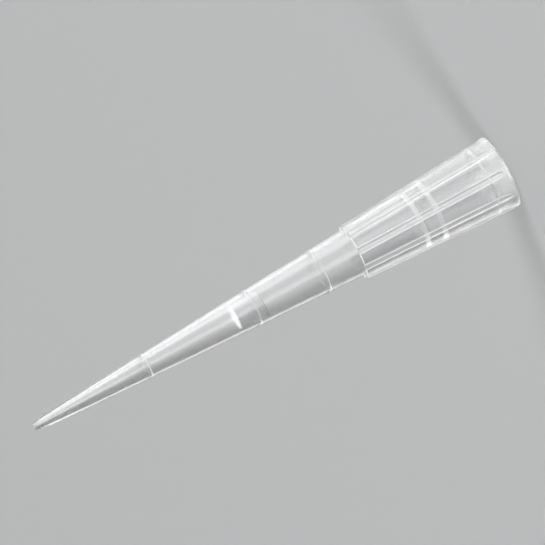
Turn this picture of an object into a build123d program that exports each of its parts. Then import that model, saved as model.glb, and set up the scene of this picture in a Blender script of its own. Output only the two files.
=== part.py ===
"""Graduated filter pipette tip, standing on its mouth with the orifice up.

Origin: centre of the mouth rim.  +Z runs along the bore, from the mouth to the orifice.
Two pieces: the moulded polypropylene tip and the porous plug pressed into its bore.
"""

import os
from math import radians, tan

from build123d import *

# ---- Driving dimensions, in millimetres and degrees ----

length = 50.0  # mouth rim to orifice

# Bore, from the orifice down to the mouth
orifice_bore = 0.44
nose_bore = 0.60  # where the nose meets the long cone
seal_bore = 5.00  # short cylinder that grips the pipette's nozzle
ledge_width = 0.25  # radial width of the ledge on each side of the seal
ledge_length = 0.45  # both ledges are steep cones, this long
seal_length = 1.32
socket_length = 5.25  # cone between the seal's lower ledge and the lead-in
lead_in_length = 1.85
lead_in_step = 0.08  # the lead-in is this much wider than the socket, on the radius
lead_in_run = 0.28  # length over which it widens
draft = 3.1  # half angle of the socket, the lead-in and the collar

# Walls
orifice_wall = 0.13
nose_wall = 0.315
body_wall = 0.42  # long cone, where it runs into the collar
rim_wall = 0.415

# Nose and collar
nose_length = 1.50
collar_length = 15.9
lip_height = 0.37  # plain band around the mouth
flare_length = 0.88  # the collar widens to the lip over this length
rim_round = 0.10  # outer edge of the rim
rim_chamfer = 0.10  # inner edge of the rim, along the bore

# Ribs along the collar
rib_count = 9
rib_height = 0.13
rib_width = 0.72
first_rib_angle = -90.0  # one rib faces -Y

# Graduations, measured from the orifice to the middle of each ring
graduations = (11.8, 23.1, 30.3)
graduation_width = 0.44
graduation_height = 0.055
graduation_slope = 0.10  # run of each flank

# Filter plug
plug_from_orifice = 21.35
plug_length = 2.85
plug_chamfer = 0.08

# ---- Levels along Z ----

lead_in_top = lead_in_length + lead_in_run
socket_top = lead_in_top + socket_length
seal_low = socket_top + ledge_length
seal_high = seal_low + seal_length
cone_low = seal_high + ledge_length
nose_low = length - nose_length

# ---- Radii that follow from them ----

slope = tan(radians(draft))
seal_radius = seal_bore / 2
cone_low_radius = seal_radius - ledge_width
socket_top_radius = seal_radius + ledge_width
socket_low_radius = socket_top_radius + slope * socket_length
lead_in_top_radius = socket_low_radius + lead_in_step
mouth_bore_radius = lead_in_top_radius + slope * lead_in_length
chamfer_top_radius = mouth_bore_radius - slope * rim_chamfer
mouth_radius = mouth_bore_radius + rim_wall


def bore_radius(z):
    """Radius of the long conical bore at height z."""
    share = (nose_low - z) / (nose_low - cone_low)
    return nose_bore / 2 + share * (cone_low_radius - nose_bore / 2)


nose_radius = nose_bore / 2 + nose_wall
body_low_radius = bore_radius(collar_length) + body_wall


def body_radius(z):
    """Outer radius of the long cone at height z."""
    share = (nose_low - z) / (nose_low - collar_length)
    return nose_radius + share * (body_low_radius - nose_radius)


def crest_radius(z):
    """Radius of the ribs' crests at height z."""
    return mouth_radius - slope * z


def collar_radius(z):
    """Outer radius of the collar between its ribs at height z."""
    return crest_radius(z) - rib_height


flare_top = lip_height + flare_length
rib_round = (rib_width**2 / 4 + rib_height**2) / (2 * rib_height)

# ---- Tip body ----

with BuildPart() as tip_body:
    # Outside: lip, flare, collar, long cone and nose
    with BuildSketch(Plane.XZ):
        with BuildLine():
            Polyline(
                (0, 0),
                (mouth_radius, 0),
                (mouth_radius, lip_height),
                (collar_radius(flare_top), flare_top),
                (collar_radius(collar_length), collar_length),
                (body_low_radius, collar_length),
                (nose_radius, nose_low),
                (orifice_bore / 2 + orifice_wall, length),
                (0, length),
                close=True,
            )
        make_face()
    revolve(axis=Axis.Z)

    # Ribs: round-backed, from the collar's end face until they sink into the flare
    for step in range(rib_count):
        angle = first_rib_angle + step * 360 / rib_count
        for level in (lip_height, collar_length):
            with BuildSketch(Plane.XY.offset(level)):
                with PolarLocations(crest_radius(level) - rib_round, 1, start_angle=angle):
                    Circle(rib_round)
        loft()

    # Graduation rings
    for distance in graduations:
        middle = length - distance
        low = middle - graduation_width / 2
        high = middle + graduation_width / 2
        with BuildSketch(Plane.XZ):
            with BuildLine():
                Polyline(
                    (0, low),
                    (body_radius(low), low),
                    (body_radius(low) + graduation_height, low + graduation_slope),
                    (body_radius(high) + graduation_height, high - graduation_slope),
                    (body_radius(high), high),
                    (0, high),
                    close=True,
                )
            make_face()
        revolve(axis=Axis.Z)

    # Bore: chamfer, lead-in, socket, seal between its two ledges, long cone and orifice
    with BuildSketch(Plane.XZ):
        with BuildLine():
            Polyline(
                (0, 0),
                (mouth_bore_radius + rim_chamfer, 0),
                (chamfer_top_radius, rim_chamfer),
                (lead_in_top_radius, lead_in_length),
                (socket_low_radius, lead_in_top),
                (socket_top_radius, socket_top),
                (seal_radius, seal_low),
                (seal_radius, seal_high),
                (cone_low_radius, cone_low),
                (nose_bore / 2, nose_low),
                (orifice_bore / 2, length),
                (0, length),
                close=True,
            )
        make_face()
    revolve(axis=Axis.Z, mode=Mode.SUBTRACT)

    rim = tip_body.faces().sort_by(Axis.Z)[0]
    fillet(rim.edges().sort_by(SortBy.LENGTH)[-1], min(rim_round, rim_wall / 3))

# ---- Filter plug, pressed into the long cone ----

plug_high = length - plug_from_orifice
plug_low = plug_high - plug_length

with BuildPart() as filter_plug:
    with BuildSketch(Plane.XZ):
        with BuildLine():
            Polyline(
                (0, plug_low),
                (bore_radius(plug_low), plug_low),
                (bore_radius(plug_high), plug_high),
                (0, plug_high),
                close=True,
            )
        make_face()
    revolve(axis=Axis.Z)
    ends = filter_plug.faces().filter_by(GeomType.PLANE)
    chamfer(ends.edges(), plug_chamfer)

# ---- Output ----

tip_body.part.label = "tip_body"
filter_plug.part.label = "filter_plug"

os.makedirs("parts", exist_ok=True)
export_step(tip_body.part, "parts/tip_body.step")
export_step(filter_plug.part, "parts/filter_plug.step")
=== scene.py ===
"""Looks of the filter pipette tip: clear moulded polypropylene over a white porous plug."""

from math import acos, cos, hypot, pi, radians, sin, sqrt, tan

import bpy
from mathutils import Matrix, Vector, noise


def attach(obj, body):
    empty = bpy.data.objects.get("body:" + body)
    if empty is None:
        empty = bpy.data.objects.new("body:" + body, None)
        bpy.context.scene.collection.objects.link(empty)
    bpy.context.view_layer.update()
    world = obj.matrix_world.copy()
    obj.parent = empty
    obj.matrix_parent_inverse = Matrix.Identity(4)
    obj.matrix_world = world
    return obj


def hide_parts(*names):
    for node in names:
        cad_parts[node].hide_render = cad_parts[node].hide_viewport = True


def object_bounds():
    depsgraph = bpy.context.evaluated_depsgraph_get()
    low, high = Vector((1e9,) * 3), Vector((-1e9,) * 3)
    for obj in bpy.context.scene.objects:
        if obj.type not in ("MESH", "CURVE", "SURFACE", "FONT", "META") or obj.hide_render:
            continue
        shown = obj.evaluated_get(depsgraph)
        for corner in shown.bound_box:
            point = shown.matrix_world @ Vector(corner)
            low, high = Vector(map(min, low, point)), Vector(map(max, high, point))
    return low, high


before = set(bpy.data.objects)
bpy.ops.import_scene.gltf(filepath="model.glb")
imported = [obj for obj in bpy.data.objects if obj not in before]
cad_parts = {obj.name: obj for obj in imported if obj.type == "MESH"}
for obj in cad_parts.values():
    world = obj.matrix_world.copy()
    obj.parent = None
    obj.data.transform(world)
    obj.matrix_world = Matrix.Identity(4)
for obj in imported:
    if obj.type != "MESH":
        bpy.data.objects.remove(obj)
cad_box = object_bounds()

MM = 0.001

# ---- Sizes of the tip and its plug, in millimetres and degrees, as in the part's source ----

LENGTH = 50.0
ORIFICE_BORE = 0.44
NOSE_BORE = 0.60
SEAL_BORE = 5.00
LEDGE_WIDTH = 0.25
LEDGE_LENGTH = 0.45
SEAL_LENGTH = 1.32
SOCKET_LENGTH = 5.25
LEAD_IN_LENGTH = 1.85
LEAD_IN_STEP = 0.08
LEAD_IN_RUN = 0.28
DRAFT = 3.1
ORIFICE_WALL = 0.13
NOSE_WALL = 0.315
BODY_WALL = 0.42
RIM_WALL = 0.415
NOSE_LENGTH = 1.50
COLLAR_LENGTH = 15.9
LIP_HEIGHT = 0.37
FLARE_LENGTH = 0.88
RIM_ROUND = 0.10
RIM_CHAMFER = 0.10
RIB_COUNT = 9
RIB_HEIGHT = 0.13
RIB_WIDTH = 0.72
FIRST_RIB_ANGLE = -90.0
GRADUATIONS = (11.8, 23.1, 30.3)
GRADUATION_WIDTH = 0.44
GRADUATION_HEIGHT = 0.055
GRADUATION_SLOPE = 0.10
PLUG_FROM_ORIFICE = 21.35
PLUG_LENGTH = 2.85
PLUG_CHAMFER = 0.08

# ---- Levels and radii that follow ----

LEAD_IN_TOP = LEAD_IN_LENGTH + LEAD_IN_RUN
SOCKET_TOP = LEAD_IN_TOP + SOCKET_LENGTH
SEAL_LOW = SOCKET_TOP + LEDGE_LENGTH
SEAL_HIGH = SEAL_LOW + SEAL_LENGTH
CONE_LOW = SEAL_HIGH + LEDGE_LENGTH
NOSE_LOW = LENGTH - NOSE_LENGTH
FLARE_TOP = LIP_HEIGHT + FLARE_LENGTH
SLOPE = tan(radians(DRAFT))
SEAL_RADIUS = SEAL_BORE / 2
CONE_LOW_RADIUS = SEAL_RADIUS - LEDGE_WIDTH
SOCKET_TOP_RADIUS = SEAL_RADIUS + LEDGE_WIDTH
SOCKET_LOW_RADIUS = SOCKET_TOP_RADIUS + SLOPE * SOCKET_LENGTH
LEAD_IN_TOP_RADIUS = SOCKET_LOW_RADIUS + LEAD_IN_STEP
MOUTH_BORE_RADIUS = LEAD_IN_TOP_RADIUS + SLOPE * LEAD_IN_LENGTH
CHAMFER_TOP_RADIUS = MOUTH_BORE_RADIUS - SLOPE * RIM_CHAMFER
MOUTH_RADIUS = MOUTH_BORE_RADIUS + RIM_WALL
NOSE_RADIUS = NOSE_BORE / 2 + NOSE_WALL
RIB_ROUND = (RIB_WIDTH**2 / 4 + RIB_HEIGHT**2) / (2 * RIB_HEIGHT)

# ---- How finely the tip is meshed ----

EDGE_ROUND = 0.02  # on edges that the mould leaves crisp
RING_FOOT_ROUND = EDGE_ROUND / 2  # at each graduation's foot on the side of the mouth
ARC_STEPS = 5  # around each rounded edge
RIB_STEPS = 12  # across a rib
GAP_STEPS = 20  # between two ribs
FLARE_STEPS = 10  # along the flare
COLLAR_STEPS = 10  # along the collar
RIB_POINT = 0.01  # half the angle, in radians, that is left where a rib runs out
SECTOR = RIB_STEPS + GAP_STEPS  # columns from one rib to the next
GAP_MIDDLE = RIB_STEPS + GAP_STEPS // 2  # the column midway between two ribs

# ---- Skins of the moulded tip: real haze in the clear one, painted highlight in the milky ones ----

SKINS = (
    # name, how clear it is, roughness where it is smoothest and roughest
    ("clear_skin", 0.95, 0.20, 0.26),
    ("step_painted_highlight", 0.15, 0.25, 0.30),
    ("ledge_painted_highlight", 0.62, 0.22, 0.28),
    ("rib_painted_highlight", 0.75, 0.22, 0.28),
    ("edge_painted_highlight", 0.52, 0.22, 0.28),
)
CLEAR, STEP, LEDGE, RIB, EDGE = range(len(SKINS))
STEP_TILT = 0.25  # a face belongs to a step if its normal's Z part is larger than this
# the milky columns at a rib's feet are a painted highlight along them
FOOT_STEPS = 2  # columns along each side of a rib that are milky like an edge
RESIN = (0.97, 0.975, 0.98, 1)
RESIN_IOR = 1.49
HAZE_CELLS = 900  # patches of the skin's uneven gloss, a metre
HAZE_DETAIL = 3

# ---- Camera: how the tip lies in the picture ----

PICTURE_SIZE = 545  # pixels each way
PIXELS_PER_MM = 10.825
CAMERA_DISTANCE = 1.0  # metres
CAMERA_NEAREST = 0.01
CAMERA_FURTHEST = 20
SENSOR_WIDTH = 36.0  # millimetres
AXIS_TILT = radians(10.5)  # the orifice comes this much towards the camera
AXIS_RISE = radians(28.64)  # the axis climbs this much from the orifice to the mouth
CAMERA_TURN = radians(2.7)  # turns the nearest rib a little below the middle
CENTRE_RIGHT = -0.375 * MM  # the tip's middle, from the middle of the picture
CENTRE_UP = -2.43 * MM

# ---- Stage, in metres ----

FLOOR_DROP = 0.03 * MM  # keeps the floor clear of the mouth's rim
FLOOR_SIZE = 6.0
FLOOR_ROUGHNESS = 0.9
PALE = (0.45, 0.455, 0.46, 1)
WHITE = (1, 1, 1, 1)
WORLD_ABOVE = 0.42  # brightness of the surroundings above the horizon
WORLD_BELOW = 0.2
HORIZON_LOW = -0.03  # the sines of the angles between which the brightness changes
HORIZON_HIGH = -0.01

# ---- Lamps: panels around the tip, in metres ----

PANEL_DISTANCE = 3.0
PANEL_CENTRE = (0, 0, 0.02)
PANELS = (
    # name, azimuth from +Y towards +X, elevation, width and height in degrees, radiance, and the
    # rays that see it: diffuse from matt surfaces, glossy in reflections, through the plastic
    ("key", 118, 22, 36, 36, 4.9, "diffuse"),
    ("fill", -118, 22, 40, 36, 4.2, "diffuse"),
    ("overhead", 0, 89, 54, 54, 0.4, "diffuse glossy"),
    ("bright", 112, 2, 30, 56, 4.6, "glossy"),
    ("front", 180, 5, 26, 40, 4.8, "glossy"),
    ("rim", -50, -18, 34, 40, 3.0, "glossy"),
    ("side", 36, -2, 52, 52, 1.0, "glossy through"),
    ("middle", 1, -2, 18, 52, 0.5, "glossy through"),
    ("high_side", 118, 42, 56, 50, 6.0, "through"),
    ("high_back", 0, 62, 80, 44, 2.4, "glossy through"),
    ("high_left", -52, 48, 60, 40, 2.4, "through"),
    ("edge", 72, -6, 50, 50, 1.6, "glossy"),
    ("under", 180, -30, 60, 34, 7.5, "glossy"),
)

# ---- Plug, in millimetres ----

BEAD = 0.13  # size of its sintered beads
BEAD_REACH = 0.75  # from a bead's middle to its foot, in bead sizes
BEAD_DEPTH = 0.03
BEAD_WHITENESS = (0.88, 1.0)  # dullest and whitest
BEAD_ROUGHNESS = (0.75, 0.95)  # glossiest and dullest
BEAD_DETAIL = 2
PLUG_GAP = 0.015  # between the plug and the bore
PLUG_HOLE = 0.0015  # a pinprick left in the middle of its ends
PLUG_AROUND = 240  # columns around it
PLUG_ALONG = 60  # steps along its side
PLUG_SHELLS = 14  # steps across each end


# ---- Meshes ----


def bore_radius(z):
    """Radius of the long conical bore at height z."""
    share = (NOSE_LOW - z) / (NOSE_LOW - CONE_LOW)
    return NOSE_BORE / 2 + share * (CONE_LOW_RADIUS - NOSE_BORE / 2)


BODY_LOW_RADIUS = bore_radius(COLLAR_LENGTH) + BODY_WALL


def body_radius(z):
    """Outer radius of the long cone at height z."""
    share = (NOSE_LOW - z) / (NOSE_LOW - COLLAR_LENGTH)
    return NOSE_RADIUS + share * (BODY_LOW_RADIUS - NOSE_RADIUS)


def crest_radius(z):
    """Radius of the ribs' crests at height z."""
    return MOUTH_RADIUS - SLOPE * z


def collar_radius(z):
    """Outer radius of the collar between its ribs, flare included."""
    share = max(FLARE_TOP - z, 0) / FLARE_LENGTH
    plain = crest_radius(max(z, FLARE_TOP)) - RIB_HEIGHT
    return plain + share * (MOUTH_RADIUS - plain)


def rib_angle(z):
    """Half the angle that a rib covers where it meets the collar."""
    base = collar_radius(z)
    centre = crest_radius(z) - RIB_ROUND
    return acos(min((base**2 + centre**2 - RIB_ROUND**2) / (2 * base * centre), 1))


def rib_radius(z, angle):
    """Radius of a rib's back, at this angle from its crest."""
    centre = crest_radius(z) - RIB_ROUND
    return centre * cos(angle) + sqrt(max(RIB_ROUND**2 - (centre * sin(angle)) ** 2, 0))


def round_corners(points):
    """Turns (radius, height, round) corners into a finer profile of (radius, height)."""
    profile = []
    for index, (r, z, size) in enumerate(points):
        if not size:
            profile.append((r, z))
            continue
        here = Vector((r, z))
        before = (Vector(points[index - 1][:2]) - here).normalized()
        after = (Vector(points[(index + 1) % len(points)][:2]) - here).normalized()
        half = before.angle(after) / 2
        middle = here + (before + after).normalized() * size / sin(half)
        start = here + before * size / tan(half) - middle
        end = here + after * size / tan(half) - middle
        for step in range(ARC_STEPS + 1):
            spoke = start.slerp(end, step / ARC_STEPS).normalized() * size
            profile.append((middle.x + spoke.x, middle.y + spoke.y))
    return profile


def column_angles(half):
    """Angles of the mesh's columns, with the ribs' feet this far from their crests."""
    sector = 2 * pi / RIB_COUNT
    angles = []
    for rib in range(RIB_COUNT):
        crest = radians(FIRST_RIB_ANGLE) + rib * sector
        angles += [crest + half * (2 * step / RIB_STEPS - 1) for step in range(RIB_STEPS)]
        gap = sector - 2 * half
        angles += [crest + half + gap * step / GAP_STEPS for step in range(GAP_STEPS)]
    return angles


def plain_ring(r, z):
    """A round ring, its columns in line with the ones at the collar's end face."""
    return [(r * cos(a), r * sin(a), z) for a in column_angles(rib_angle(COLLAR_LENGTH))]


def collar_ring(z, level, inset=0):
    """A ring at height z with the collar's outline at the given level, drawn in by the inset."""
    half = max(rib_angle(level), RIB_POINT)
    ring = []
    for index, angle in enumerate(column_angles(half)):
        place = index % SECTOR
        r = collar_radius(level)
        if 0 < place < RIB_STEPS:
            r = max(r, rib_radius(level, half * (2 * place / RIB_STEPS - 1)))
        ring.append(((r - inset) * cos(angle), (r - inset) * sin(angle), z))
    return ring


def spread(low, high, steps):
    """Evenly spaced values from low to high, both included."""
    return [low + (high - low) * step / steps for step in range(steps + 1)]


def ring_mesh(name, rings, crisp, feet):
    """A closed skin over rings of points, the last one joined to the first.

    crisp holds the rings that are sharp edges, feet the rings where the ribs' feet are.
    """
    around = len(rings[0])
    count = len(rings)
    verts = [(x * MM, y * MM, z * MM) for ring in rings for x, y, z in ring]
    faces = []
    for level in range(count):
        above = (level + 1) % count
        for column in range(around):
            beside = (column + 1) % around
            faces.append((level * around + column, level * around + beside,
                          above * around + beside, above * around + column))
    mesh = bpy.data.meshes.new(name)
    mesh.from_pydata(verts, [], faces)
    mesh.shade_smooth()
    sharp = mesh.attributes.new("sharp_edge", "BOOLEAN", "EDGE")
    for edge in mesh.edges:
        low, high = sorted(edge.vertices)
        low_ring, high_ring = low // around, high // around
        if low_ring == high_ring:
            sharp.data[edge.index].value = low_ring in crisp
        elif low_ring in feet and high_ring in feet:
            sharp.data[edge.index].value = low % around % SECTOR in (0, RIB_STEPS)
    thing = bpy.data.objects.new(name, mesh)
    bpy.context.scene.collection.objects.link(thing)
    return thing


def skin_between(ring, above):
    """The skin from one ring to the next one along it, away from the ribs: milky, a painted
    highlight, on steps, ledges and the rim's round.
    """
    (x, y, z), (next_x, next_y, next_z) = ring[GAP_MIDDLE], above[GAP_MIDDLE]
    rise = next_z - z
    inwards = hypot(x, y) - hypot(next_x, next_y)
    tilt = inwards / hypot(inwards, rise)  # of its normal: 1 is straight up, -1 is straight down
    height = (z + next_z) / 2
    if rise < 0:  # in the bore
        return LEDGE if height > LIP_HEIGHT and abs(tilt) > STEP_TILT else CLEAR
    if height < RIM_ROUND:
        return EDGE
    if height < COLLAR_LENGTH + EDGE_ROUND:
        return STEP if height > LIP_HEIGHT and tilt > STEP_TILT else CLEAR
    return STEP if tilt < -STEP_TILT else CLEAR


def build_tip():
    """The whole moulded tip as one skin, each face with the skin of its place; the milky ones are
    painted highlight on its edges.
    """
    # From the bore's mouth over the rim to the foot of the flare
    corners = [
        (LEAD_IN_TOP_RADIUS, LEAD_IN_LENGTH, 0),
        (CHAMFER_TOP_RADIUS, RIM_CHAMFER, EDGE_ROUND),
        (MOUTH_BORE_RADIUS + RIM_CHAMFER, 0, EDGE_ROUND),
        (MOUTH_RADIUS, 0, RIM_ROUND),
        (MOUTH_RADIUS, LIP_HEIGHT, EDGE_ROUND),
        (collar_radius(FLARE_TOP), FLARE_TOP, 0),
    ]
    rim = round_corners(corners)[1:-1]
    # From the collar's end face over the long cone and the nose, then back down the bore
    corners = [
        (collar_radius(COLLAR_LENGTH), COLLAR_LENGTH, 0),
        (BODY_LOW_RADIUS, COLLAR_LENGTH, EDGE_ROUND),
    ]
    for distance in sorted(GRADUATIONS, reverse=True):
        low = LENGTH - distance - GRADUATION_WIDTH / 2
        high = low + GRADUATION_WIDTH
        corners += [
            (body_radius(low), low, RING_FOOT_ROUND),
            (body_radius(low) + GRADUATION_HEIGHT, low + GRADUATION_SLOPE, EDGE_ROUND),
            (body_radius(high) + GRADUATION_HEIGHT, high - GRADUATION_SLOPE, EDGE_ROUND),
            (body_radius(high), high, EDGE_ROUND),
        ]
    corners += [
        (NOSE_RADIUS, NOSE_LOW, EDGE_ROUND),
        (ORIFICE_BORE / 2 + ORIFICE_WALL, LENGTH, EDGE_ROUND),
        (ORIFICE_BORE / 2, LENGTH, EDGE_ROUND),
        (NOSE_BORE / 2, NOSE_LOW, EDGE_ROUND),
        (CONE_LOW_RADIUS, CONE_LOW, EDGE_ROUND),
        (SEAL_RADIUS, SEAL_HIGH, EDGE_ROUND),
        (SEAL_RADIUS, SEAL_LOW, EDGE_ROUND),
        (SOCKET_TOP_RADIUS, SOCKET_TOP, EDGE_ROUND),
        (SOCKET_LOW_RADIUS, LEAD_IN_TOP, EDGE_ROUND),
        (LEAD_IN_TOP_RADIUS, LEAD_IN_LENGTH, EDGE_ROUND),
        (CHAMFER_TOP_RADIUS, RIM_CHAMFER, 0),
    ]
    rest = round_corners(corners)[1:-1]

    rings = [plain_ring(r, z) for r, z in rim]
    first_foot = len(rings)
    # The ribs start where their crests come out of the flare
    fall = (MOUTH_RADIUS - collar_radius(FLARE_TOP)) / FLARE_LENGTH
    point = LIP_HEIGHT * fall / (fall - SLOPE)
    for z in spread(point, FLARE_TOP, FLARE_STEPS):
        rings.append(collar_ring(z, z))
    flare_ring = len(rings) - 1
    for z in spread(FLARE_TOP, COLLAR_LENGTH - EDGE_ROUND, COLLAR_STEPS)[1:]:
        rings.append(collar_ring(z, z))
    last_foot = len(rings)
    # The rounded edge of the collar's end face
    for step in range(1, ARC_STEPS + 1):
        turn = pi / 2 * step / ARC_STEPS
        z = COLLAR_LENGTH - EDGE_ROUND * (1 - sin(turn))
        rings.append(collar_ring(z, COLLAR_LENGTH, EDGE_ROUND * (1 - cos(turn))))
    rings += [plain_ring(r, z) for r, z in rest]
    ribbed = range(first_foot, last_foot + ARC_STEPS)
    tip = ring_mesh("moulded_tip", rings, {flare_ring}, ribbed)
    for skin in SKINS:
        tip.data.materials.append(polypropylene(*skin))
    # Steps, ledges, the rim's round, ribs and their feet take the milky skins, a painted highlight
    # along these edges.
    plain = [skin_between(ring, above) for ring, above in zip(rings, rings[1:] + rings[:1])]
    for face in tip.data.polygons:
        level, column = divmod(face.index, len(rings[0]))
        face.material_index = plain[level]
        from_foot = min(column % SECTOR, RIB_STEPS - 1 - column % SECTOR)
        if level in ribbed and from_foot >= 0:
            face.material_index = EDGE if from_foot < FOOT_STEPS else RIB
    return tip


def bead_height(place):
    """How high the sintered beads stand at a place in millimetres, 0 to 1."""
    distances = noise.voronoi(place / BEAD, distance_metric="DISTANCE")[0]
    return max(1 - (distances[0] / BEAD_REACH) ** 2, 0)


def build_plug():
    """The porous plug, just clear of the bore: a skin of beads over both ends and the side."""
    high = LENGTH - PLUG_FROM_ORIFICE
    low = high - PLUG_LENGTH
    low_radius = bore_radius(low) - PLUG_GAP
    high_radius = bore_radius(high) - PLUG_GAP
    side = spread(low + PLUG_CHAMFER, high - PLUG_CHAMFER, PLUG_ALONG)
    # Radius, height, and the way the beads stand: outwards and upwards
    outline = [(r, low, 0, -1) for r in spread(PLUG_HOLE, low_radius - PLUG_CHAMFER, PLUG_SHELLS)]
    outline += [(bore_radius(z) - PLUG_GAP, z, 1, 0) for z in side]
    outline += [(r, high, 0, 1) for r in spread(high_radius - PLUG_CHAMFER, PLUG_HOLE, PLUG_SHELLS)]
    rings = []
    for r, z, outwards, upwards in outline:
        ring = []
        for column in range(PLUG_AROUND):
            turn = 2 * pi * column / PLUG_AROUND
            place = Vector((r * cos(turn), r * sin(turn), z))
            sunk = BEAD_DEPTH * (1 - bead_height(place))
            outward = Vector((outwards * cos(turn), outwards * sin(turn), upwards))
            ring.append(tuple(place - outward * sunk))
        rings.append(ring)
    return ring_mesh("porous_plug", rings, (), ())


# ---- Materials ----


def new_material(name):
    """A node material and its shader."""
    material = bpy.data.materials.new(name)
    material.use_nodes = True
    return material, material.node_tree.nodes["Principled BSDF"]


def add_noise(tree, scale, detail):
    """Noise in the object's own space, scale in cells a metre."""
    place = tree.nodes.new("ShaderNodeTexCoord")
    texture = tree.nodes.new("ShaderNodeTexNoise")
    texture.inputs["Scale"].default_value = scale
    texture.inputs["Detail"].default_value = detail
    tree.links.new(place.outputs["Object"], texture.inputs["Vector"])
    return texture.outputs["Fac"]


def link_range(tree, source, low, high, target):
    """Stretches a 0 to 1 output over low to high and links it to a shader's socket."""
    stretch = tree.nodes.new("ShaderNodeMapRange")
    stretch.inputs["To Min"].default_value = low
    stretch.inputs["To Max"].default_value = high
    tree.links.new(source, stretch.inputs["Value"])
    tree.links.new(stretch.outputs["Result"], target)


def polypropylene(name, clearness, smoothest, roughest):
    """Natural polypropylene, milky where it is less clear, its gloss between two roughnesses; past
    the clear skin's slight haze, the milkiness is painted highlight.
    """
    material, shader = new_material(name)
    shader.inputs["Base Color"].default_value = RESIN
    shader.inputs["IOR"].default_value = RESIN_IOR
    shader.inputs["Transmission Weight"].default_value = clearness
    tree = material.node_tree
    haze = add_noise(tree, HAZE_CELLS, HAZE_DETAIL)
    link_range(tree, haze, smoothest, roughest, shader.inputs["Roughness"])
    return material


def sintered_polyethylene():
    """White beads sintered together, uneven in whiteness and gloss from bead to bead."""
    material, shader = new_material("sintered_polyethylene")
    tree = material.node_tree
    beads = add_noise(tree, 1 / (BEAD * MM), BEAD_DETAIL)
    link_range(tree, beads, *BEAD_WHITENESS, shader.inputs["Base Color"])
    link_range(tree, beads, *BEAD_ROUGHNESS, shader.inputs["Roughness"])
    return material


def floor_material():
    """A plain pale matt surface."""
    material, shader = new_material("pale_floor")
    shader.inputs["Base Color"].default_value = PALE
    shader.inputs["Roughness"].default_value = FLOOR_ROUGHNESS
    return material


def dress(node, material):
    """Gives a CAD node its finish."""
    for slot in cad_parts[node].material_slots:
        slot.material = material


# ---- Floor, camera, lamps and surroundings ----


def add_floor():
    """The floor under the tip, which reflections and the plastic do not show."""
    bpy.ops.mesh.primitive_plane_add(size=FLOOR_SIZE, location=(0, 0, -FLOOR_DROP))
    floor = bpy.context.object
    floor.name = "floor"
    floor.data.materials.append(floor_material())
    floor.visible_glossy = False
    floor.visible_transmission = False


def picture_axes():
    """The camera's right, up and back directions in the frame."""
    turn = CAMERA_TURN
    back = Vector((sin(turn) * cos(AXIS_TILT), -cos(turn) * cos(AXIS_TILT), sin(AXIS_TILT)))
    side = Vector((cos(turn), sin(turn), 0))
    upright = back.cross(side)
    right = -sin(AXIS_RISE) * side - cos(AXIS_RISE) * upright
    up = cos(AXIS_RISE) * side - sin(AXIS_RISE) * upright
    return right, up, back


def add_camera():
    """The camera, at the angle and framing given above."""
    right, up, back = picture_axes()
    low, high = cad_box
    middle = (low + high) / 2
    data = bpy.data.cameras.new("camera")
    data.sensor_width = SENSOR_WIDTH
    data.lens = SENSOR_WIDTH * CAMERA_DISTANCE / (PICTURE_SIZE / PIXELS_PER_MM * MM)
    data.clip_start = CAMERA_NEAREST
    data.clip_end = CAMERA_FURTHEST
    camera = bpy.data.objects.new("camera", data)
    place = middle + back * CAMERA_DISTANCE - right * CENTRE_RIGHT - up * CENTRE_UP
    turned = Matrix((right, up, back)).transposed().to_4x4()
    camera.matrix_world = Matrix.Translation(place) @ turned
    bpy.context.scene.collection.objects.link(camera)
    bpy.context.scene.camera = camera


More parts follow.
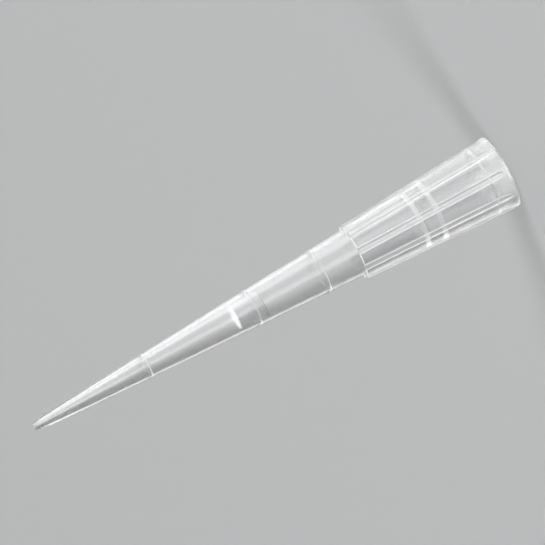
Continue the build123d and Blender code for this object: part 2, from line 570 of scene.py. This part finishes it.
def add_softbox(name, place, aim, width, height, power):
    """An area lamp at a place, aimed at a point, its height kept upright."""
    back = (Vector(place) - Vector(aim)).normalized()
    across = Vector((0, 0, 1)).cross(back).normalized()
    data = bpy.data.lights.new(name, "AREA")
    data.shape = "RECTANGLE"
    data.size = width
    data.size_y = height
    data.energy = power
    lamp = bpy.data.objects.new(name, data)
    turned = Matrix((across, back.cross(across), back)).transposed().to_4x4()
    lamp.matrix_world = Matrix.Translation(Vector(place)) @ turned
    bpy.context.scene.collection.objects.link(lamp)
    return lamp


def add_panel(name, azimuth, elevation, width, height, radiance, rays):
    """A panel of light that covers this patch of the surroundings as seen from the tip."""
    turn, rise = radians(azimuth), radians(elevation)
    middle = Vector(PANEL_CENTRE)
    towards = Vector((sin(turn) * cos(rise), cos(turn) * cos(rise), sin(rise)))
    across = 2 * PANEL_DISTANCE * tan(radians(width / 2))
    tall = 2 * PANEL_DISTANCE * tan(radians(height / 2))
    place = middle + PANEL_DISTANCE * towards
    lamp = add_softbox(name, place, middle, across, tall, radiance * pi * across * tall)
    lamp.visible_camera = False
    lamp.visible_diffuse = "diffuse" in rays
    lamp.visible_glossy = "glossy" in rays
    lamp.visible_transmission = "through" in rays


def add_world():
    """Pale surroundings, dimmer below the horizon, where only the plastic shows them."""
    world = bpy.data.worlds.new("surroundings")
    world.use_nodes = True
    nodes, links = world.node_tree.nodes, world.node_tree.links
    place = nodes.new("ShaderNodeTexCoord")
    heights = nodes.new("ShaderNodeSeparateXYZ")
    links.new(place.outputs["Generated"], heights.inputs["Vector"])
    fade = nodes.new("ShaderNodeMapRange")
    fade.inputs["From Min"].default_value = HORIZON_LOW
    fade.inputs["From Max"].default_value = HORIZON_HIGH
    fade.inputs["To Min"].default_value = WORLD_BELOW
    fade.inputs["To Max"].default_value = WORLD_ABOVE
    links.new(heights.outputs["Z"], fade.inputs["Value"])
    background = nodes["Background"]
    background.inputs["Color"].default_value = WHITE
    links.new(fade.outputs["Result"], background.inputs["Strength"])
    bpy.context.scene.world = world


# ---- The scene ----

tip = build_tip()
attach(tip, "root")
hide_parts("tip_body")
dress("tip_body", tip.data.materials[0])
plug = build_plug()
plug.data.materials.append(sintered_polyethylene())
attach(plug, "root")
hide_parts("filter_plug")
dress("filter_plug", plug.data.materials[0])
add_floor()
add_world()
for panel in PANELS:
    add_panel(*panel)
add_camera()

bpy.context.scene.view_settings.view_transform = "Standard"
